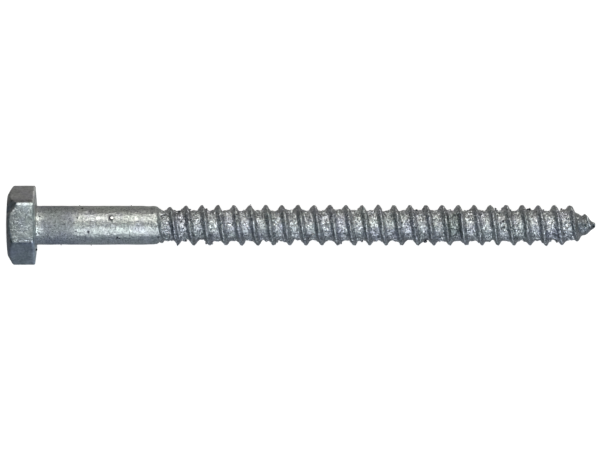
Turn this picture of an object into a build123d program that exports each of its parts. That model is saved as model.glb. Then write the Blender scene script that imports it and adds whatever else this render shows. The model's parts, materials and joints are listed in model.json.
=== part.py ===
from build123d import *
import os
from math import atan, ceil, cos, degrees, radians, sin, tan

# Hex lag screw, 1/4 in by 3-1/2 in, ten threads to the inch: one piece of steel, cold headed, with
# a rolled wood thread and a gimlet point, hot-dip galvanised. Millimetres.
#
# It is shaped upright, with the bearing face of the head at Z = 0 and the point up, and is then
# laid down as it comes to rest, on one flat of the head and the last full crest of the thread.

# Head
across_flats = 11.11
head_height = 4.2
head_end_dia = 10.0      # flat circle on the end of the head
head_end_slope = 30      # chamfer around that circle, in degrees from the end face
corner_round = 0.7       # along the six corners
underside_bevel = 0.25   # around the bearing face

# Plain shank
shank_dia = 6.12
shank_length = 19.4      # from the bearing face to the shoulder
shank_flare = 0.3        # small cone where it meets the bearing face
shoulder_length = 1.0    # cone from the shank down to the root of the thread

# Thread
screw_length = 88.9      # from the bearing face to the tip
thread_dia = 6.54        # over the crests
root_dia = 4.72
pitch = 2.54
flank_slope = 30         # each flank, in degrees from a plane across the axis
crest_slope = 45         # each side of the crest, where the flanks are rounded off
crest_height = 0.4
run_in_turns = 2         # over which the crest grows to its full height
run_in_depth = 0.23      # how far under the shank's skin the thread starts

# Gimlet point
point_slope = 29.7       # the core's cone, in degrees from the axis
tip_dia = 0.5
fade_end = 0.4           # from the tip to where the thread has faded away
fade_height = 0.03       # of the ridge that is left there
thread_turn = 137        # from the lowest line round to where the point begins, in degrees

# Worked out from these
shank_radius = shank_dia / 2
thread_radius = thread_dia / 2
root_radius = root_dia / 2
tip_radius = tip_dia / 2
corner_radius = across_flats / 2 / cos(radians(30))
head_slant = (corner_radius - head_end_dia / 2) * tan(radians(head_end_slope))
point_length = (root_radius - tip_radius) / tan(radians(point_slope))
point_start = screw_length - point_length

# The full thread ends where the point begins and has a whole number of turns, so that the run-in
# before it starts inside the shank. It is made in stretches of a few turns. The ridge is bedded in
# the core, deep enough to reach it where it narrows to the point, and at the end of the fade not
# past the axis.
ridge_height = thread_radius - root_radius
run_in_height = shank_radius - run_in_depth - root_radius
full_bed = 0.6
faded_bed = 0.2
stretch_turns = 4
full_turns = ceil((point_start - shank_length) / pitch) - run_in_turns
full_start = point_start - full_turns * pitch
run_in_start = full_start - run_in_turns * pitch
fade_turns = (point_length - fade_end) / pitch


def ridge(start, turns, slope, first, last):
    """One stretch of the thread, a ridge with a pointed crest carried along a helix on the core.

    The helix starts at the height start, on the +X side, and closes in on the axis by slope
    degrees. First and last are the ridge's height above the core and its bed in it at each end.
    """
    with BuildPart() as stretch:
        with BuildLine():
            helix = Helix(
                pitch / cos(radians(slope)),
                turns * pitch,
                root_radius,
                center=(0, 0, start),
                cone_angle=-slope,
            )
        sections = []
        for foot, (height, bed) in ((helix @ 0, first), (helix @ 1, last)):
            outward = Vector(foot.X, foot.Y, 0).normalized()
            flank_top = height - min(crest_height, height)
            top_half_width = (height - flank_top) * tan(radians(crest_slope))
            bed_half_width = top_half_width + (flank_top + bed) * tan(radians(flank_slope))
            with BuildSketch(Plane(origin=foot, x_dir=outward, z_dir=outward.rotate(Axis.Z, 90))) as section:
                Polygon(
                    (-bed, -bed_half_width),
                    (flank_top, -top_half_width),
                    (height, 0),
                    (flank_top, top_half_width),
                    (-bed, bed_half_width),
                    align=None,
                )
            sections.append(section.sketch)
        sweep(sections=sections, multisection=True, is_frenet=True)
    return stretch.part


# Head: a hexagonal prism, bevelled around the bearing face and trimmed by a cone at its end
with BuildPart() as head:
    with BuildSketch() as hexagon:
        RegularPolygon(across_flats / 2, 6, major_radius=False, rotation=30)
        fillet(hexagon.vertices(), corner_round)
    extrude(amount=-head_height)
    chamfer(head.faces().sort_by(Axis.Z)[-1].edges(), underside_bevel)
    with BuildSketch(Plane.XZ):
        with BuildLine():
            Polyline(
                (0, 0),
                (0, -head_height),
                (head_end_dia / 2, -head_height),
                (corner_radius, -head_height + head_slant),
                (corner_radius, 0),
                close=True,
            )
        make_face()
    revolve(mode=Mode.INTERSECT)

# Shank, shoulder, core and point turned as one, with the thread rolled on them
with BuildPart() as threaded_shank:
    with BuildSketch(Plane.XZ):
        with BuildLine():
            Polyline(
                (0, 0),
                (shank_radius, 0),
                (shank_radius, shank_length),
                (root_radius, shank_length + shoulder_length),
                (root_radius, point_start),
                (tip_radius, screw_length),
                (0, screw_length),
                close=True,
            )
        make_face()
    revolve()
full = (ridge_height, full_bed)
stretches = [
    ridge(run_in_start, run_in_turns, 0, (run_in_height, full_bed), full),
    ridge(point_start, fade_turns, point_slope, full, (fade_height, faded_bed)),
]
for turns_below in range(0, full_turns, stretch_turns):
    turns = min(stretch_turns, full_turns - turns_below)
    stretches.append(ridge(full_start + turns_below * pitch, turns, 0, full, full))
with threaded_shank:
    for stretch in stretches:
        add(stretch)

# Upright screw: the thread is turned on from the lowest flat of the head, which faces +X
with BuildPart() as upright:
    add(head.part)
    add(threaded_shank.part, rotation=(0, 0, thread_turn))
    bearing_face = upright.faces().filter_by(Plane.XY).sort_by(Axis.Z)[1]
    chamfer(bearing_face.inner_wires()[0].edges(), shank_flare)

# At rest the head's bevelled edge and the last full crest that passes underneath are on the floor
crest_underneath = point_start - pitch * thread_turn / 360
lean = atan((across_flats / 2 - thread_radius) / (crest_underneath + underside_bevel))

# Laid down: the axis points along +X and down by the lean, and that flat of the head faces down
lying = Plane(origin=(0, 0, 0), x_dir=(-sin(lean), 0, -cos(lean)), z_dir=(cos(lean), 0, -sin(lean)))
with BuildPart() as lag_screw:
    with Locations(lying):
        add(upright.part)
lag_screw.part.label = "lag_screw"

os.makedirs("parts", exist_ok=True)
export_step(lag_screw.part, "parts/lag_screw.step")
print("lean", round(degrees(lean), 3), "full turns", full_turns, "fade turns", round(fade_turns, 2))
print("solids", len(lag_screw.part.solids()), "valid", lag_screw.part.is_valid)
print("volume", round(lag_screw.part.volume, 2), "faces", len(lag_screw.part.faces()))
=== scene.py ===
import json
from math import cos, radians, sin, tan

import bpy
import numpy as np
from mathutils import Matrix, Vector


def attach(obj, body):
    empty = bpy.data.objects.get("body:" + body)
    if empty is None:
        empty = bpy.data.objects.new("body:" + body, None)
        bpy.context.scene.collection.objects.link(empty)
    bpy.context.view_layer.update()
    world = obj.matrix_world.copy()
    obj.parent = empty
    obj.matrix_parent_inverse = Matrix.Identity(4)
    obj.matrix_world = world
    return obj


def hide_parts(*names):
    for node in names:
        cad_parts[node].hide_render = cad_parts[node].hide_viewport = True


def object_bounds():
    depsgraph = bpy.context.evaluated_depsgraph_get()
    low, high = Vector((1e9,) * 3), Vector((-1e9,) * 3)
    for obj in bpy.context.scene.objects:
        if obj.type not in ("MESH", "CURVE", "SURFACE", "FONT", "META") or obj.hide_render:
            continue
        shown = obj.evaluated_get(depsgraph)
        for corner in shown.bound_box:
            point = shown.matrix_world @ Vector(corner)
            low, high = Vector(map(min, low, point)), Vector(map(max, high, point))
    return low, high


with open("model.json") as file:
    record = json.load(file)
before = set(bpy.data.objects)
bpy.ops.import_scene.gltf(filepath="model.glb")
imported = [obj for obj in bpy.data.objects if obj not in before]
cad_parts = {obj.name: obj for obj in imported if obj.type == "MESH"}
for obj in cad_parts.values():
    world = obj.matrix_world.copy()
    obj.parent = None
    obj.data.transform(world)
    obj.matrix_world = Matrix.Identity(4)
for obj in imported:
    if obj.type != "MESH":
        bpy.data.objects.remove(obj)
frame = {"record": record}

cad_low, cad_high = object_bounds()

# ---------------------------------------------------------------------------------------------
# The lag screw: one piece of steel with an upset hexagon head, a plain shank, a rolled wood
# thread that grows out of the shank, and a gimlet point. It has been dipped in molten zinc, which
# rounds every edge and crest and sets in lumps, thickest in the thread.

# Sizes are in millimetres, along the axis from the bearing face under the head. A turn is an
# angle round the axis, from the screw's left side upwards.
across_flats = 11.11
head_height = 4.27
bearing_coat = 0.09             # zinc on the bearing face
head_end_radius = 4.85          # flat circle on the end of the head
head_end_slope = radians(30)    # chamfer around that circle
end_crown = 0.2                 # bulge of the end
corner_round = 0.75
underside_bevel = 0.05
edge_sharpness = 160
chamfer_sharpness = 70
struck_corner, struck_width, struck_depth = radians(64), radians(7.5), 1.3

shank_radius = 3.085
shank_end = 19.35
shank_end_round = 0.25
shoulder_length = 1.0
fillet_radius = 0.42            # where the shank meets the head

screw_length = 88.87
root_radius = 2.33
thread_radius = 3.27
pitch = 2.54
head_side_slope, point_side_slope = radians(26), radians(22.5)
crest_flat = 0.2
crest_round = 0.13
root_round = 0.16
head_side_round = 0.28          # of the root on the side of a ridge that faces the head
crest_at_side = 84.87           # where a crest passes the left side
run_in = (19.6, 25.2)           # over which the thread grows to its full height
run_in_depth = 0.42

point_start = 85.32
point_slope = radians(29.7)
tip_radius = 0.25
fade_along = (84.4, 86.1, 87.4, 88.0, 88.6)
fade_height = (0.925, 0.74, 0.6, 0.3, -0.05)


def noise(points, size, seed):
    """Random heights from -1 to 1 that change smoothly over about size.

    A lattice of random numbers, blended between the eight corners of each cell with a smooth step.
    """
    lattice_side = 64
    lattice = np.random.default_rng(seed).uniform(-1, 1, (lattice_side,) * 3)
    cell = points / size + 31.7
    low = np.floor(cell).astype(int)
    part = cell - low
    part = part * part * (3 - 2 * part)
    height = np.zeros(len(points))
    for corner in np.ndindex(2, 2, 2):
        weight = np.prod(np.where(corner, part, 1 - part), axis=1)
        height += weight * lattice[tuple(((low + corner) % lattice_side).T)]
    return height


def smooth_step(value, start, end):
    """0 before start, 1 after end, and an even S between them."""
    part = np.clip((value - start) / (end - start), 0, 1)
    return part * part * (3 - 2 * part)


def between(value, start, full, fading, end):
    """An S up from start to full, times an S down from fading to end."""
    return smooth_step(value, start, full) * (1 - smooth_step(value, fading, end))


def bell(value, middle, width):
    """1 at the middle, and e to the power of minus the square of the distance over the width."""
    return np.exp(-(((value - middle) / width) ** 2))


def turn_from(middle, turn):
    """Angle from the middle to the turn, the short way round."""
    return (turn - middle + radians(180)) % radians(360) - radians(180)


def from_crest(turn, along):
    """Distance from the nearest crest, negative on its side of the head. Crests are a pitch apart
    and go on by a pitch in each turn."""
    return (along - crest_at_side - pitch * turn / radians(360) + pitch / 2) % pitch - pitch / 2


def hexagon_radius(turn):
    """Radius of the head's hexagon at an angle round the axis: the flat's distance over the cosine
    of the angle from its middle, and past the flat's end a circle of corner_round."""
    flat = across_flats / 2
    off = np.abs(turn % radians(60) - radians(30))
    corner = (flat - corner_round) / cos(radians(30))
    ends = np.arctan((flat - corner_round) * tan(radians(30)) / flat)
    swing = radians(30) - off
    bow = np.sqrt(np.maximum(corner_round**2 - (corner * np.sin(swing)) ** 2, 0))
    return np.where(off < ends, flat / np.cos(off), corner * np.cos(swing) + bow)


def head_radius_and_height(turn, swing):
    """Surface of the head, seen from its middle, swing being the angle from its end towards the
    bearing face.

    The inverse distances to the end, its chamfer, the flats, the bevel and the bearing face, under
    its coat, are added as high powers, which gives the nearest one and rounds the edges: the
    higher the power, the sharper. One corner is struck, with a deeper chamfer.
    """
    half = (head_height + bearing_coat) / 2
    flat = hexagon_radius(turn)
    end_radius = head_end_radius - struck_depth * bell(turn_from(struck_corner, turn), 0, struck_width)
    chamfer = (half + end_radius * tan(head_end_slope)) * cos(head_end_slope)
    bevel = (flat - underside_bevel + half) * cos(radians(45))

    def nearest(sharpness, *nearness):
        return sum(np.maximum(near, 0) ** sharpness for near in nearness) ** (1 / sharpness)

    sides = nearest(chamfer_sharpness, np.cos(swing - head_end_slope) / chamfer, np.sin(swing) / flat)
    bevelled = -np.cos(swing + radians(45)) / bevel
    reach = 1 / nearest(edge_sharpness, np.cos(swing) / half, sides, bevelled, -np.cos(swing) / half)
    return reach * np.sin(swing), bearing_coat - half - reach * np.cos(swing)


def screw_radius(turn, along):
    """Radius of shank and thread at an angle and a height.

    The core is the shank, an S down to the root, and the cone of the point. The ridge is the
    crest's radius less a hyperbola of the distance to the nearest crest's flat, whose arms are
    the flanks. The larger of the two counts, with a rounded corner between them, which zinc fills
    more on the side of the head.
    """
    shoulder = smooth_step(along, shank_end - shank_end_round, shank_end + shoulder_length)
    core = shank_radius - (shank_radius - root_radius) * shoulder
    core = np.minimum(core, root_radius + (point_start - along) * tan(point_slope))
    sunk = run_in_depth * (1 - smooth_step(along, *run_in))
    crest = core + np.interp(along, fade_along, fade_height) - sunk
    crest = np.where(along < run_in[0] + 2, np.minimum(crest, thread_radius - sunk), crest)
    off = from_crest(turn, along)
    beyond_flat = np.maximum(np.abs(off) - crest_flat / 2, 0)
    slope = np.where(off < 0, tan(head_side_slope), tan(point_side_slope))
    ridge = crest - (np.hypot(beyond_flat, crest_round) - crest_round) / slope
    corner = root_round + (head_side_round - root_round) * smooth_step(-off, 0.0, 0.5)
    return (core + ridge + np.hypot(core - ridge, corner)) / 2 - corner / 4


# The mesh is one closed skin. Rings go from the pole of the head's end to the shank. The thread is
# a strip one pitch wide, wound on along the helix so that its rows follow the crest: its lower
# line is a flat ring for the first turn and a helix after that, and its upper line is its own
# lower line one turn later, cut off by the last ring at the tip.
columns = 112
head_rows, fillet_rows, shank_rows, thread_rows = 72, 6, 76, 23
thread_turns = 26
mid_thread = 50

strip_start = crest_at_side - pitch / 2 - thread_turns * pitch
step = pitch / columns
rise = round((screw_length - strip_start) / step)
strip_end = strip_start + rise * step
steps = columns + rise

turns = radians(360) * np.arange(columns) / columns
neck_swing = radians(180) - np.arctan((shank_radius + fillet_radius) * 2 / (head_height + bearing_coat))
swings = np.linspace(0, neck_swing, head_rows)[1:]
head_radius, head_along = head_radius_and_height(turns[None, :], swings[:, None])
bend = np.linspace(0, radians(90), fillet_rows)[1:]
fillet_r = shank_radius + fillet_radius * (1 - np.sin(bend))
fillet_a = bearing_coat + fillet_radius * (1 - np.cos(bend))
shank_a = np.linspace(fillet_a[-1], strip_start, shank_rows)[1:-1]
ring_r = np.concatenate([fillet_r, np.full(len(shank_a), shank_radius)])
ring_a = np.concatenate([fillet_a, shank_a])
ring_radius = np.vstack([head_radius, np.repeat(ring_r[:, None], columns, axis=1)])
ring_along = np.vstack([head_along, np.repeat(ring_a[:, None], columns, axis=1)])
rings = len(ring_radius)

# Rows evenly spaced along the thread's own profile, root to root
probe = np.linspace(0, pitch, 400)
profile = screw_radius(0.0, mid_thread + (crest_at_side - pitch / 2 - mid_thread) % pitch + probe)
length = np.concatenate([[0], np.cumsum(np.hypot(np.diff(probe), np.diff(profile)))])
rows = np.interp(np.arange(thread_rows) / thread_rows * length[-1], length, probe) / pitch

wound = np.arange(steps + columns)
lower = np.minimum(strip_start + step * np.maximum(wound - columns, 0), strip_end)
strip_along = lower[:steps, None] + rows[None, :] * (lower[columns:] - lower[:steps])[:, None]
strip_turn = radians(360) * (wound % columns) / columns
strip_turns = np.repeat(strip_turn[:steps, None], thread_rows, axis=1)
last_along, last_turn = lower[steps:], strip_turn[steps:]
cap_radius = tip_radius * np.array([0.8, 0.45])
cap_along = strip_end + np.array([0.02, 0.03])

# All points in one row: rings, strip, last ring, the two rings of the tip's cap, and both poles
all_along = np.concatenate(
    [
        ring_along.ravel(),
        strip_along.ravel(),
        last_along,
        np.repeat(cap_along, columns),
        [-head_height, cap_along[-1]],
    ]
)
all_turn = np.concatenate(
    [np.tile(turns, rings), strip_turns.ravel(), last_turn, np.tile(last_turn, 2), [0, 0]]
)
all_radius = screw_radius(all_turn, all_along)
all_radius[: rings * columns] = ring_radius.ravel()
all_radius[-2 - 2 * columns : -2] = np.repeat(cap_radius, columns)
all_radius[-2:] = 0

strip_base = rings * columns
last_base = strip_base + steps * thread_rows
cap_base = last_base + columns
head_pole = cap_base + 2 * columns
tip_pole = head_pole + 1


def strip_index(wound_step, row):
    """Number of a point of the strip: the top row is the bottom row one turn on, the first column
    is a single point, and past the last step only the last ring is left."""
    wound_step = np.where(row == thread_rows, wound_step + columns, wound_step)
    row = np.where(row == thread_rows, 0, row)
    wound_step, row = np.where(wound_step == 0, columns, wound_step), np.where(wound_step == 0, 0, row)
    on_last = last_base + (wound_step - steps) % columns
    return np.where(wound_step >= steps, on_last, strip_base + wound_step * thread_rows + row)


def two_triangles(a, b, c, d):
    """Each four-sided face, given as four arrays of corners, cut into two triangles."""
    a, b, c, d = (np.broadcast_to(x, np.broadcast(a, b, c, d).shape).ravel() for x in (a, b, c, d))
    return np.vstack([np.stack([a, b, c], 1), np.stack([a, c, d], 1)])


# Each column and the next one round the axis
here = np.arange(columns)
after = (here + 1) % columns


def joined(first, second):
    """The faces between two rings with the same turns, given by the number of their first point."""
    return two_triangles(first + here, first + after, second + after, second + here)


ring_base = np.arange(rings - 1)[:, None] * columns
first_ring = strip_index(here, np.zeros(columns, int))
last_shank_ring = (rings - 1) * columns
wound_step, row = np.meshgrid(np.arange(steps), np.arange(thread_rows), indexing="ij")
faces = np.vstack(
    [
        np.stack([np.full(columns, head_pole), after, here], 1),
        joined(ring_base, ring_base + columns),
        two_triangles(last_shank_ring + here, last_shank_ring + after, first_ring[after], first_ring),
        two_triangles(
            strip_index(wound_step, row),
            strip_index(wound_step + 1, row),
            strip_index(wound_step + 1, row + 1),
            strip_index(wound_step, row + 1),
        ),
        joined(last_base, cap_base),
        joined(cap_base, cap_base + columns),
        np.stack([cap_base + columns + here, cap_base + columns + after, np.full(columns, tip_pole)], 1),
    ]
)
# Faces that the strip pinches to a line are left out, and so are points without a face
whole = (faces[:, 0] != faces[:, 1]) & (faces[:, 1] != faces[:, 2]) & (faces[:, 2] != faces[:, 0])
used, faces = np.unique(faces[whole], return_inverse=True)
faces = faces.reshape(-1, 3)
all_along, all_turn, all_radius = all_along[used], all_turn[used], all_radius[used]

# The screw's own directions: forward along the axis, side to its left, up square to both
mounts = {mount["name"]: mount for mount in frame["record"]["mounts"]}
forward = np.array(mounts["bearing_face"]["axis"], float)
forward /= np.linalg.norm(forward)
side = np.array([0.0, 1.0, 0.0])
up = np.cross(forward, side)
origin = np.array(mounts["bearing_face"]["pos_m"], float)


def place(along, turn, radius):
    """Points in metres from the distance along the axis, the angle round it and the radius."""
    out = np.cos(turn)[:, None] * side + np.sin(turn)[:, None] * up
    return origin + (along[:, None] * forward + radius[:, None] * out) / 1000


def point_normals(points, faces):
    """Outward direction at each point: the sum of the directions of the faces that meet there."""
    a, b, c = (points[faces[:, k]] for k in range(3))
    across = np.cross(b - a, c - a)
    total = np.zeros_like(points)
    for k in range(3):
        np.add.at(total, faces[:, k], across)
    size = np.linalg.norm(total, axis=1, keepdims=True)
    return total / np.maximum(size, 1e-12)


points = place(all_along, all_turn, all_radius) * 1000
normals = point_normals(points, faces)

# Zinc over the steel, in millimetres: a slight swell everywhere, and lumps in the thread that lie
# in drifts, lower on the flanks and the crest
skin_swell, skin_grain = 0.016, 0.012
thread_swell, lump_height, thread_sink = 0.04, 0.35, 0.02
crest_swell, crest_sink = 0.055, 0.02
tip_swell = 0.1
number = np.arange(len(points))
on_head = (number < head_radius.size) | (number == len(points) - 2)     # its rings and its pole
on_thread = smooth_step(all_along, shank_end - 0.4, shank_end + 1.2)
on_point = smooth_step(all_along, point_start, point_start + 0.8)
off = from_crest(all_turn, all_along)
large_lumps = np.maximum(noise(points, 0.5, 3) - 0.25, 0)
small_lumps = np.maximum(noise(points, 0.28, 4) - 0.2, 0)
drifts = 0.6 + 0.5 * noise(points, 4.0, 7)
on_slopes = 1 - 0.6 * bell(np.abs(off), 0.25, 0.2) - 0.4 * bell(off, 0, 0.12)
lumps = (large_lumps + 0.9 * small_lumps) * drifts * on_slopes
zinc = skin_swell * noise(points, 1.8, 1) + skin_grain * noise(points, 0.6, 2)
in_thread = thread_swell * noise(points, 0.9, 5) + lump_height * lumps - thread_sink
zinc += on_thread * (1 - 0.7 * on_point) * in_thread
zinc += on_thread * bell(off, 0, 0.3) * (crest_swell * noise(points, 0.7, 6) - crest_sink)
by_tip = smooth_step(all_along, 87.9, 88.5)
zinc += by_tip * tip_swell * noise(points, 0.28, 8)

# It ran down to the front of the thread before it set, and lies uneven in the roots on both sides
front, behind = radians(185), radians(5)
front_width = radians(28)
front_coat, front_runs, root_runs = 0.09, 0.1, 0.27
in_root = on_thread * smooth_step(np.abs(off), 0.3, 0.7)
run_down = front_coat + front_runs * np.maximum(noise(points, 0.45, 9), 0)
zinc += in_root * bell(turn_from(front, all_turn), 0, front_width) * run_down
zinc += in_root * (1 - on_point) * root_runs * np.cos(all_turn - behind) ** 4 * noise(points, 0.5, 12)

# The end of the head is slightly crowned, and a shallow groove runs round the end of the shank
groove_depth, groove_width = 0.05, 0.1
on_end = on_head & (all_along < -head_height + 0.02)
zinc[on_end] += end_crown * (1 - (all_radius[on_end] / head_end_radius) ** 2)
zinc -= groove_depth * bell(all_along, shank_end - 0.2, groove_width)

# Single lumps: distance along the axis, turn in degrees, radius, width and height. One burst
# pimple on the shank, beads on the head's two edges, one in the thread, and two by the tip
for lump_along, lump_turn, lump_out, lump_width, lump_rise in (
    (12.3, 73, 3.085, 0.3, 0.09),
    (0.05, 139, 5.6, 0.25, 0.12),
    (-4.15, 108, 4.95, 0.2, 0.08),
    (26.2, 138, 2.4, 0.24, 0.08),
    (88.0, 12, 0.95, 0.4, 0.16),
    (87.3, 180, 1.2, 0.8, 0.2),
):
    middle = place(np.array([lump_along]), np.radians([lump_turn]), np.array([lump_out])) * 1000
    zinc += lump_rise * bell(np.linalg.norm(points - middle, axis=1), 0, lump_width)
low, high = np.array(cad_low) * 1000, np.array(cad_high) * 1000
points = np.clip(points + normals * zinc[:, None], low, high)

skin = bpy.data.meshes.new("galvanised_lag_screw")
skin.from_pydata((points / 1000).tolist(), [], faces.tolist())
skin.polygons.foreach_set("use_smooth", np.ones(len(skin.polygons), bool))
screw = bpy.data.objects.new("galvanised_lag_screw", skin)
bpy.context.scene.collection.objects.link(screw)


def mask(mesh, name, values):
    """A number between 0 and 1 at each point of the mesh, for its material to read by name."""
    layer = mesh.attributes.new(name, "FLOAT", "POINT")
    layer.data.foreach_set("value", np.clip(values, 0, 1).astype(np.float32))


def on_face(first, last):
    """The head's skin between two turns in degrees. Its corners are at 0, 60, 120 and 180."""
    return on_head & (all_turn > radians(first)) & (all_turn < radians(last))


# Masks for the material, as the zinc's tone differs, and shade, highlights and reflections are painted
# into it, between the sides of the thread, the faces and edges of the head, and the parts of the shank
rim_middle, rim_reach = -0.06, 0.1
at_rim = np.abs(all_along - rim_middle) < rim_reach
not_end = all_along > -head_height + 0.05
not_thread = (1 - on_thread) * ~on_head
patchy = all_along + 0.9 * noise(points, 1.1, 11)
cut_back = hexagon_radius(all_turn) - all_radius
near_shank = smooth_step(5.5 - all_radius, 0, 1.6)
by_corners = 0.6 * (np.abs(all_turn - radians(90)) > radians(29))
from_top = np.abs(turn_from(radians(100), all_turn))
front_of_shank = between(all_turn, radians(112), radians(150), radians(200), radians(240))
masks = {
    # The thread: its flanks and the foot on the point's side, faintly darkened as painted shade, the
    # crest's edge and the crease at the foot on the head's side, darkened more as painted shade, the
    # first turns, the point, and a painted highlight along the last ridge
    "thread": on_thread,
    "flank": on_thread * between(np.abs(off), 0.08, 0.3, 0.62, 0.8),
    "foot": on_thread * bell(off, 0.45, 0.11),
    "crest": on_thread * bell(off, -0.13, 0.13),
    "crease_shade": on_thread * bell(off, -0.36, 0.12) * (1 - smooth_step(from_top, radians(32), radians(65))),
    "start": between(all_along, 19.6, 20.2, 22.0, 31.0),
    "point": on_point,
    "last_ridge_highlight": bell(off, -0.12, 0.1) * between(all_along, 87.2, 87.5, 87.9, 88.2),
    # The shank: its front, lightened and tinted blue as painted cool light, a dull zone by the head and
    # a band before its end
    "shank": not_thread,
    "shank_front_cool_light": not_thread * front_of_shank,
    "dull": between(patchy, 0.3, 1.5, 4.6, 7.6),
    "band": bell(patchy, 18.7, 0.25),
    # The head: its end with the chamfer, darkened as painted shade, the three faces on top, the upper
    # one in warm painted shade, the middle one in painted light and the lower one in cool painted shade,
    # the edges of these around the bearing face, with painted highlights by the upper and lower faces
    # and painted shade by the middle one, and the bearing face, lightened as a painted reflection
    "head": on_head,
    "chamfer_shade": on_head * (all_along < -head_height / 2) * smooth_step(cut_back, 0.0, 0.05),
    "upper_face_warm_shade": on_face(1, 59) & not_end,
    "lit_face_painted_light": (on_face(61, 118.5) & not_end) * smooth_step(all_along, -4.2, -0.8),
    "lower_face_cool_shade": on_face(120, 182) & not_end,
    "rim_highlight": at_rim * (on_face(4, 58) + 0.35 * on_face(122, 178)),
    "face_rim_shade": at_rim & on_face(62, 118),
    "under_painted_reflection": on_head * (all_along > bearing_coat - 0.04) * np.maximum(near_shank, by_corners),
}
for name, values in masks.items():
    mask(skin, name, values)

zinc_coat = bpy.data.materials.new("hot_dip_zinc")
zinc_coat.use_nodes = True
tree = zinc_coat.node_tree
shader = tree.nodes["Principled BSDF"]
coords = tree.nodes.new("ShaderNodeTexCoord").outputs["Object"]


def feed(socket, value):
    """Gives a socket another socket to read, a colour, or a plain value."""
    if isinstance(value, bpy.types.NodeSocket):
        tree.links.new(value, socket)
    elif socket.type == "RGBA":
        socket.default_value = (*value, 1)
    else:
        socket.default_value = value


def node(kind, *values, **settings):
    """A node in the tree at work, with the values of its first inputs and its settings by name."""
    new = tree.nodes.new(kind)
    for name, setting in settings.items():
        setattr(new, name, setting)
    for socket, value in zip(new.inputs, values):
        feed(socket, value)
    return new


def cloud(scale, detail=3.0, roughness=0.6, distortion=0.0):
    """Cloudy noise on Object coordinates, its scale in cells per metre."""
    new = node("ShaderNodeTexNoise", coords)
    feed(new.inputs["Scale"], scale)
    feed(new.inputs["Detail"], detail)
    feed(new.inputs["Roughness"], roughness)
    feed(new.inputs["Distortion"], distortion)
    return new.outputs["Fac"]


def reckon(operation, *values):
    """One arithmetic step between sockets or numbers."""
    return node("ShaderNodeMath", *values, operation=operation).outputs[0]


def spread(value, start, end, low=0.0, high=1.0):
    """value from start to end carried over to low to high, and held there outside."""
    return node("ShaderNodeMapRange", value, start, end, low, high).outputs["Result"]


def blend_colours(kind, amount, first, second):
    """Two colours mixed by an amount, both as sockets or as plain colours."""
    new = node("ShaderNodeMix", data_type="RGBA", blend_type=kind)
    for socket, value in ((0, amount), (6, first), (7, second)):
        feed(new.inputs[socket], value)
    return new.outputs[2]


def ramp(value, *stops):
    """Colour ramp through (position, colour) stops."""
    new = node("ShaderNodeValToRGB", value)
    elements = new.color_ramp.elements
    while len(elements) < len(stops):
        elements.new(0.5)
    for element, (position, colour) in zip(elements, stops):
        element.position = position
        element.color = (*colour, 1)
    return new.outputs["Color"]


def read_mask(name):
    """The mask of that name on the mesh."""
    return node("ShaderNodeAttribute", attribute_name=name).outputs["Fac"]


def along_direction(direction):
    """Distance in metres from the origin along a direction, on Object coordinates."""
    reach = node("ShaderNodeVectorMath", coords, direction, operation="DOT_PRODUCT").outputs["Value"]
    return reckon("SUBTRACT", reach, float(direction @ origin))


def corner_line(at_degrees, width_degrees):
    """1 on a line along the head at a turn, falling to 0 at width_degrees from it, and at both ends
    over 0.2 mm."""
    turn = reckon("ARCTAN2", along_direction(up), along_direction(side))
    away = reckon("ABSOLUTE", reckon("SUBTRACT", turn, radians(at_degrees)))
    line = spread(away, 0, radians(width_degrees), 1, 0)
    along = along_direction(forward)
    line = reckon("MULTIPLY", line, spread(along, -0.0003, -0.0001, 1, 0))
    return reckon("MULTIPLY", line, spread(along, -0.0037, -0.0035, 0, 1))


def spots(*places):
    """1 at each of the places, falling to 0 at its size. A place is its distance along the axis,
    turn in degrees, radius and size."""
    largest = 0.0
    for spot_along, spot_turn, spot_out, spot_size in places:
        middle = place(np.array([spot_along]), np.radians([spot_turn]), np.array([spot_out]))[0]
        away = node("ShaderNodeVectorMath", coords, middle, operation="DISTANCE").outputs["Value"]
        largest = reckon("MAXIMUM", spread(away, 0, spot_size / 1000, 1, 0), largest)
    return spread(largest, 0.15, 0.6)


# Grey zinc with fine specks and a faint tint that drifts from greenish to bluish
thread_mask = read_mask("thread")
point_mask = read_mask("point")
head_mask = read_mask("head")
flank_mask = read_mask("flank")
tone = ramp(
    cloud(2500.0, 4.0, 0.7),
    (0.3, (0.305, 0.315, 0.325)),
    (0.5, (0.44, 0.45, 0.46)),
    (0.7, (0.63, 0.64, 0.65)),
)
speck = ramp(
    cloud(4600.0, 3.0, 0.7),
    (0.34, (0.26, 0.27, 0.28)),
    (0.48, (1, 1, 1)),
    (0.6, (1, 1, 1)),
    (0.73, (1.6, 1.6, 1.6)),
)
speck_amount = spread(thread_mask, 0, 1, 0.95, 0.9)
speck_amount = reckon("SUBTRACT", speck_amount, reckon("MULTIPLY", head_mask, 0.76))
tone = blend_colours("MULTIPLY", speck_amount, tone, speck)
tint = ramp(
    cloud(380.0, 2.0),
    (0.34, (0.96, 1.0, 0.975)),
    (0.5, (0.985, 0.995, 1.0)),
    (0.66, (0.96, 0.965, 1.04)),
)
tone = blend_colours("MULTIPLY", 1.0, tone, tint)

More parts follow.
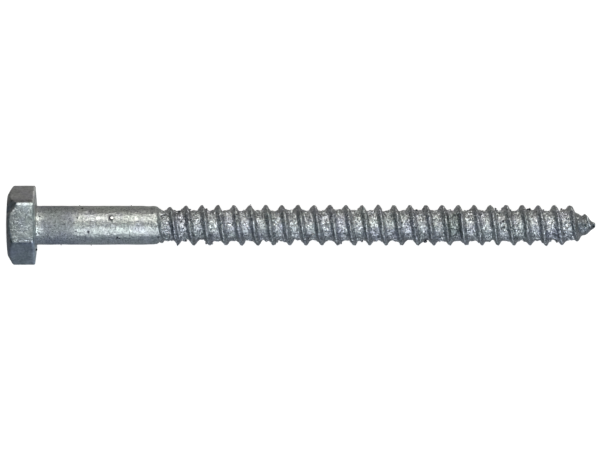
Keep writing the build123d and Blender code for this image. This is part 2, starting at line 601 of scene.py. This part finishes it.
# Crumpled zinc with folds in the thread, and soft stains on the head
crumple = cloud(1900.0, 2.5, 0.6, 1.2)
crumpled = ramp(
    crumple,
    (0.34, (0.48, 0.49, 0.51)),
    (0.48, (1.0, 1.0, 1.0)),
    (0.64, (1.85, 1.85, 1.85)),
)
smoother = reckon("ADD", reckon("MULTIPLY", point_mask, 0.7), reckon("MULTIPLY", flank_mask, 0.45))
crumpling = reckon("MAXIMUM", reckon("SUBTRACT", thread_mask, smoother), 0.0)
tone = blend_colours("MULTIPLY", crumpling, tone, crumpled)
folds = ramp(
    cloud(1150.0, 2.0, 0.5, 2.2),
    (0.38, (0.85, 0.85, 0.87)),
    (0.44, (1.3, 1.3, 1.3)),
    (0.49, (0.75, 0.76, 0.78)),
    (0.55, (1.35, 1.35, 1.35)),
    (0.62, (0.8, 0.81, 0.83)),
)
tone = blend_colours("MULTIPLY", reckon("MULTIPLY", crumpling, 0.8), tone, folds)
stains = ramp(
    cloud(650.0, 3.0, 0.6, 0.4),
    (0.36, (0.72, 0.75, 0.77)),
    (0.64, (0.9, 0.93, 0.95)),
)
tone = blend_colours("MULTIPLY", head_mask, tone, stains)

for name, colour in (
    # Painted shade: faint on the flanks and the foot, stronger on the crest's edge and the crease
    ("flank", (0.98, 0.98, 0.98)),
    ("foot", (0.98, 0.98, 1.0)),
    ("crest", (0.74, 0.74, 0.75)),
    ("crease_shade", (0.6, 0.61, 0.62)),
    # Painted shade on the rim of the head's middle face
    ("face_rim_shade", (0.6, 0.6, 0.6)),
    ("shank", (0.97, 0.98, 0.945)),
    ("point", (0.76, 0.78, 0.77)),
    # Painted cool light on the shank's front
    ("shank_front_cool_light", (1.03, 1.05, 1.1)),
    ("dull", (0.7, 0.71, 0.75)),
    # Painted shade on the head's chamfer
    ("chamfer_shade", (0.68, 0.68, 0.69)),
    # Painted light on the middle face of the head
    ("lit_face_painted_light", (1.27, 1.32, 1.285)),
    ("band", (0.78, 0.79, 0.8)),
    ("start", (0.88, 0.88, 0.89)),
    # Painted highlight along the last ridge by the tip
    ("last_ridge_highlight", (2.6, 2.6, 2.6)),
    # Painted shade on the lower face, cool, and on the upper face, warm
    ("lower_face_cool_shade", (0.76, 0.805, 0.87)),
    ("upper_face_warm_shade", (0.925, 0.885, 0.86)),
    # Painted highlights on the rims by the upper and lower faces
    ("rim_highlight", (2.5, 2.5, 2.5)),
    # Painted reflection lightening the bearing face by the shank and the corners
    ("under_painted_reflection", (2.3, 2.4, 2.3)),
    ("dross", (0.15, 0.15, 0.17)),
):
    tone = blend_colours("MULTIPLY", read_mask(name), tone, colour)

# Lines along the two upper corners of the head: a dark line above the upper corner, painted shade
# that dims the upper corner's highlight and hides the lower corner's, and a painted highlight below the
# upper corner
for at_degrees, width_degrees, colour in (
    (54.5, 2.2, (0.5, 0.5, 0.5)),
    (118.8, 4.2, (0.3, 0.305, 0.29)),
    (60.5, 2.6, (0.62, 0.61, 0.6)),
    (66.5, 4.0, (1.24, 1.26, 1.23)),
):
    tone = blend_colours("MULTIPLY", corner_line(at_degrees, width_degrees), tone, colour)
# A soft darker patch in the middle of the head's middle face
darker_face_patch = spots((-2.9, 92, 5.5, 2.2))
tone = blend_colours("MULTIPLY", darker_face_patch, tone, (0.86, 0.86, 0.87))

# Pits and burnt spots: a burst pimple with a bright floor and small pits in the shank, one at the
# end of the head, hooks of dross in the thread, and holes beside the tip
burnt = spots(
    (12.18, 74, 3.1, 0.74),
    (8.6, 115, 3.06, 0.38),
    (6.85, 73, 3.06, 0.24),
    (6.65, 113, 3.06, 0.22),
    (0.9, 68, 3.06, 0.22),
    (13.2, 134, 3.06, 0.3),
    (13.5, 137, 3.06, 0.25),
    (7.6, 36, 3.06, 0.3),
    (-4.15, 108, 4.95, 0.3),
    (19.6, 137, 3.0, 0.3),
    (26.35, 133, 2.6, 0.45),
    (30.6, 92, 2.5, 0.27),
    (48.9, 100, 2.5, 0.3),
    (59.2, 115, 2.5, 0.3),
    (60.7, 45, 2.5, 0.36),
    (63.5, 60, 2.5, 0.3),
    (65.5, 60, 2.5, 0.27),
    (66.25, 49, 2.55, 0.42),
    (67.3, 117, 2.65, 0.5),
    (67.55, 137, 2.65, 0.5),
    (73.8, 86, 2.4, 0.32),
    (74.15, 80, 2.4, 0.36),
    (74.0, 108, 2.4, 0.36),
    (74.3, 102, 2.4, 0.3),
    (88.15, 112, 0.6, 0.35),
    (88.6, 125, 0.4, 0.3),
)
tone = blend_colours("MULTIPLY", burnt, tone, (0.13, 0.13, 0.15))
tone = blend_colours("MIX", spots((12.32, 72, 3.1, 0.34)), tone, (0.95, 0.95, 0.93))
dull_land = spots((66.2, 70, 2.4, 1.9), (66.3, 95, 2.4, 1.9), (66.4, 115, 2.4, 1.9))
tone = blend_colours("MULTIPLY", dull_land, tone, (0.6, 0.64, 0.62))
# Painted glints: brighter spots in the shank's highlights and by the head
glints = spots(
    (0.5, 73, 3.12, 0.5),
    (0.5, 106, 3.1, 0.4),
    (0.45, 113, 3.1, 0.45),
    (10.2, 73, 3.1, 0.5),
    (13.3, 104, 3.1, 0.5),
    (13.8, 106, 3.1, 0.4),
    (15.4, 111, 3.1, 0.35),
    (16.2, 74, 3.1, 0.4),
    (17.2, 112, 3.1, 0.4),
)
tone = blend_colours("MULTIPLY", glints, tone, (1.5, 1.5, 1.48))
ash = spread(cloud(1900.0, 2.0, 0.5, 0.5), 0.65, 0.72)
ash = reckon("MULTIPLY", ash, spread(thread_mask, 0, 1, 0.1, 0.9))
tone = blend_colours("MIX", ash, tone, (0.03, 0.035, 0.04))
feed(shader.inputs["Base Color"], tone)

# Satin, smoother in the thread and rougher by the head, with a fine ripple and the crumpling as
# relief, weaker on the head, the flanks and the point
shader.inputs["Metallic"].default_value = 0.95
rough = spread(cloud(2300.0, 3.0), 0.3, 0.7, 0.32, 0.46)
rough = reckon("SUBTRACT", rough, reckon("MULTIPLY", thread_mask, 0.1))
rough = reckon("ADD", rough, reckon("MULTIPLY", read_mask("dull"), 0.25))
feed(shader.inputs["Roughness"], rough)
depth = spread(thread_mask, 0, 1, 0.4, 0.95)
for weaker, share in ((point_mask, 0.5), (head_mask, 0.29), (flank_mask, 0.35)):
    depth = reckon("SUBTRACT", depth, reckon("MULTIPLY", weaker, share))
folding = reckon("SUBTRACT", spread(crumpling, 0, 1, 0.36, 0.9), reckon("MULTIPLY", head_mask, 0.11))
ripple = reckon("MULTIPLY", cloud(2500.0, 3.0, 0.6), depth)
ripple = reckon("ADD", ripple, reckon("MULTIPLY", crumple, folding))
relief = node("ShaderNodeBump")
feed(relief.inputs["Height"], ripple)
relief.inputs["Strength"].default_value = 1.0
relief.inputs["Distance"].default_value = 0.00025
feed(shader.inputs["Normal"], relief.outputs["Normal"])
skin.materials.append(zinc_coat)

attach(screw, "root")
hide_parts("lag_screw")

# ---------------------------------------------------------------------------------------------
# Zinc beads: drops of zinc and dross that froze in the thread as the screw was drawn out of the
# bath and spun. Each is a small uneven ball sunk in the coat, most of them beside a flank.
bead_count = 420
beads = np.random.default_rng(21)
bead_turn = beads.uniform(0, radians(360), bead_count)
coil = beads.integers(-25, 1, bead_count)
by_flank = beads.random(bead_count) < 0.8
beside = np.where(by_flank, beads.uniform(0.55, 1.25, bead_count), beads.uniform(0, 0.55, bead_count))
beside *= beads.choice([-1, 1], bead_count)
bead_along = crest_at_side + pitch * (bead_turn / radians(360) + coil) + beside
bead_size = 0.06 + 0.14 * beads.random(bead_count) ** 2

# Single ones that stand out from both sides of the screw, and the last one on the bearing face:
# distance along the axis, turn in degrees, and size
last_bead = 84.6
on_bearing_face = 4.15
stray = np.array(
    [
        (24.5, 5, 0.16), (27.1, 5, 0.15), (23.9, 185, 0.19), (29.9, 8, 0.12), (35.4, 4, 0.15),
        (73.1, 6, 0.2), (78.1, 5, 0.19), (78.45, 7, 0.2), (83.5, 5, 0.17), (82.9, 184, 0.17),
        (51.8, 185, 0.16), (54.0, 185, 0.14), (61.8, 184, 0.25), (48.4, 5, 0.14), (60.5, 10, 0.18),
        (4.07, 185, 0.08), (9.02, 185, 0.08), (7.2, 5, 0.08), (15.2, 5, 0.07), (0.09, 198, 0.23),
    ]
)
bead_along = np.concatenate([bead_along, stray[:, 0]])
bead_turn = np.concatenate([bead_turn, np.radians(stray[:, 1])])
bead_size = np.concatenate([bead_size, stray[:, 2]])
proud = np.concatenate([np.full(bead_count, 0.3), np.full(len(stray) - 1, 0.8), [-0.25]])
kept = bead_along < last_bead
bead_along, bead_turn, bead_size, proud = bead_along[kept], bead_turn[kept], bead_size[kept], proud[kept]
bead_out = screw_radius(bead_turn, bead_along)
bead_out[-1] = on_bearing_face
bead_foot = place(bead_along, bead_turn, bead_out) * 1000
nearest_skin = np.array([np.argmin(((points - foot) ** 2).sum(axis=1)) for foot in bead_foot])
bead_middle = (points[nearest_skin] + normals[nearest_skin] * (proud * bead_size)[:, None]) / 1000

# A ball of rings and two poles, stretched and dented at random for each bead
ball_rings, ball_columns = 5, 8
dip = np.repeat(np.linspace(0, radians(180), ball_rings + 2)[1:-1], ball_columns)
swing = np.tile(radians(360) * np.arange(ball_columns) / ball_columns, ball_rings)
ball = np.stack([np.sin(dip) * np.cos(swing), np.sin(dip) * np.sin(swing), np.cos(dip)], 1)
ball = np.vstack([ball, [[0, 0, 1], [0, 0, -1]]])
ring_start = np.arange(ball_rings - 1)[:, None] * ball_columns
spot = np.arange(ball_columns)
next_spot = (spot + 1) % ball_columns
ring_end = ring_start + ball_columns
bottom = (ball_rings - 1) * ball_columns
ball_faces = np.vstack(
    [
        two_triangles(ring_start + spot, ring_end + spot, ring_end + next_spot, ring_start + next_spot),
        np.stack([np.full(ball_columns, len(ball) - 2), spot, next_spot], 1),
        np.stack([np.full(ball_columns, len(ball) - 1), bottom + next_spot, bottom + spot], 1),
    ]
)
stretch = beads.uniform(0.7, 1.3, (len(bead_size), 1, 3))
bead_points = bead_size[:, None, None] * stretch * ball[None]
bead_points *= 1 + 0.25 * beads.uniform(-1, 1, bead_points.shape[:2])[:, :, None]
bead_points = (bead_middle[:, None, :] + bead_points / 1000).reshape(-1, 3)
bead_points = np.clip(bead_points, cad_low, cad_high)
bead_faces = (ball_faces[None] + np.arange(len(bead_size))[:, None, None] * len(ball)).reshape(-1, 3)
bead_mesh = bpy.data.meshes.new("zinc_beads")
bead_mesh.from_pydata(bead_points.tolist(), [], bead_faces.tolist())
bead_mesh.polygons.foreach_set("use_smooth", np.ones(len(bead_mesh.polygons), bool))
zinc_beads = bpy.data.objects.new("zinc_beads", bead_mesh)
bpy.context.scene.collection.objects.link(zinc_beads)

# They are of the thread's zinc, the stray ones full of dark dross
mask(bead_mesh, "thread", np.ones(len(bead_points)))
mask(bead_mesh, "flank", np.ones(len(bead_points)))
dross = np.where(np.arange(len(bead_size)) < len(bead_size) - len(stray), 0.2, 1.0)
mask(bead_mesh, "dross", np.repeat(dross, len(ball)))
bead_mesh.materials.append(zinc_coat)
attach(zinc_beads, "root")

# ---------------------------------------------------------------------------------------------
# Floor: a plain sheet of paper under the screw. The camera sees it lit up to white. The metal
# mirrors it as a mid grey, cool in front, warm behind, darker beyond the head and hardly lit up,
# because the sides of the screw are dark.
floor_size = 6.0
floor_gap = 0.00002
camera_lift, mirrored_lift = 0.83, 0.07
half = floor_size / 2
ground = cad_low[2] - floor_gap
sheet = bpy.data.meshes.new("floor")
sheet_corners = [(x * half, y * half, ground) for x, y in ((-1, -1), (1, -1), (1, 1), (-1, 1))]
sheet.from_pydata(sheet_corners, [], [(0, 1, 2, 3)])
floor = bpy.data.objects.new("floor", sheet)
bpy.context.scene.collection.objects.link(floor)

paper = bpy.data.materials.new("pale_paper")
paper.use_nodes = True
tree = paper.node_tree
plain = tree.nodes["Principled BSDF"]
plain.inputs["Roughness"].default_value = 1.0
plain.inputs["Specular IOR Level"].default_value = 0.0
plain.inputs["Emission Color"].default_value = (1, 1, 1, 1)
rays = node("ShaderNodeLightPath").outputs
seen = reckon("MAXIMUM", rays["Is Camera Ray"], rays["Is Transmission Ray"])
lift = reckon("MULTIPLY", seen, camera_lift)
lift = reckon("ADD", lift, reckon("MULTIPLY", rays["Is Glossy Ray"], mirrored_lift))
feed(plain.inputs["Emission Strength"], lift)
on_floor = node("ShaderNodeSeparateXYZ", node("ShaderNodeTexCoord").outputs["Object"]).outputs
to_back = spread(on_floor["Y"], -0.015, 0.015)
mirrored = blend_colours("MIX", to_back, (0.27, 0.293, 0.325), (0.345, 0.322, 0.305))
beyond_head = spread(on_floor["X"], -0.02, -0.006, 0.3, 1.0)
mirrored = blend_colours("MULTIPLY", 1.0, mirrored, beyond_head)
paper_colour = blend_colours("MIX", rays["Is Camera Ray"], mirrored, (0.32, 0.32, 0.32))
feed(plain.inputs["Base Color"], paper_colour)
sheet.materials.append(paper)

# ---------------------------------------------------------------------------------------------
# Light: two long soft lamps along the screw, a warm one behind and a cool one in front, in a dim
# room that is brighter towards both ends of the screw
axis_middle = Vector(origin) + Vector(forward) * 0.04205
lamp_distance = 1.5
lamp_length, lamp_width = 1.5, 0.26


def standing(at, right, above, back):
    """The matrix of a lamp or a camera at a place, which looks away from its back."""
    return Matrix.Translation(at) @ Matrix((right, above, back)).transposed().to_4x4()


def strip_lamp(name, power, colour, lean_side, lean_forward):
    """A lamp as long as it is far off, lying along the screw, lean_side degrees from straight up
    to the left of the screw, and lean_forward degrees towards the point."""
    data = bpy.data.lights.new(name, "AREA")
    data.shape = "RECTANGLE"
    data.size, data.size_y = lamp_length, lamp_width
    data.energy = power
    data.color = colour
    lamp = bpy.data.objects.new(name, data)
    bpy.context.scene.collection.objects.link(lamp)
    to_lamp = Vector((tan(radians(lean_forward)), tan(radians(lean_side)), 1)).normalized()
    across = to_lamp.cross(Vector((1, 0, 0))).normalized()
    lamp.matrix_world = standing(
        axis_middle + to_lamp * lamp_distance, across.cross(to_lamp), across, to_lamp
    )


strip_lamp("lamp_behind", 17.2, (1.0, 0.98, 0.915), 37.5, 12)
strip_lamp("lamp_in_front", 17.2, (0.95, 0.98, 1.0), -38.3, 12)

world = bpy.data.worlds.new("studio")
world.use_nodes = True
bpy.context.scene.world = world
tree = world.node_tree
toward = node("ShaderNodeSeparateXYZ", node("ShaderNodeTexCoord").outputs["Generated"]).outputs
sides = ramp(
    spread(toward["Y"], -1, 1),
    (0.0, (0.025, 0.07, 0.13)),
    (0.5, (0.065, 0.093, 0.1)),
    (1.0, (0.125, 0.112, 0.107)),
)
endways = spread(reckon("ABSOLUTE", toward["X"]), 0.3, 1.0)
ends = blend_colours("MIX", endways, (0.75, 0.75, 0.75), (3.0, 3.0, 3.0))
room = blend_colours("MULTIPLY", 1.0, sides, ends)
is_camera = node("ShaderNodeLightPath").outputs["Is Camera Ray"]
feed(tree.nodes["Background"].inputs["Color"], blend_colours("MIX", is_camera, room, (1.0, 1.0, 1.0)))

scene = bpy.context.scene
scene.view_settings.view_transform = "Standard"

# Camera: from almost straight above, square to the screw's axis
look_down = radians(5)
camera_distance = 0.78
camera_shift = 0.00004
camera_data = bpy.data.cameras.new("camera")
camera_data.lens = 295
camera_data.sensor_width = 36
camera_data.clip_start = 0.01
camera_data.clip_end = 10
camera = bpy.data.objects.new("camera", camera_data)
scene.collection.objects.link(camera)
back = Vector(up) * cos(look_down) - Vector(side) * sin(look_down)
right = Vector(forward)
eye = axis_middle + back * camera_distance + Vector(side) * camera_shift
camera.matrix_world = standing(eye, right, back.cross(right), back)
scene.camera = camera
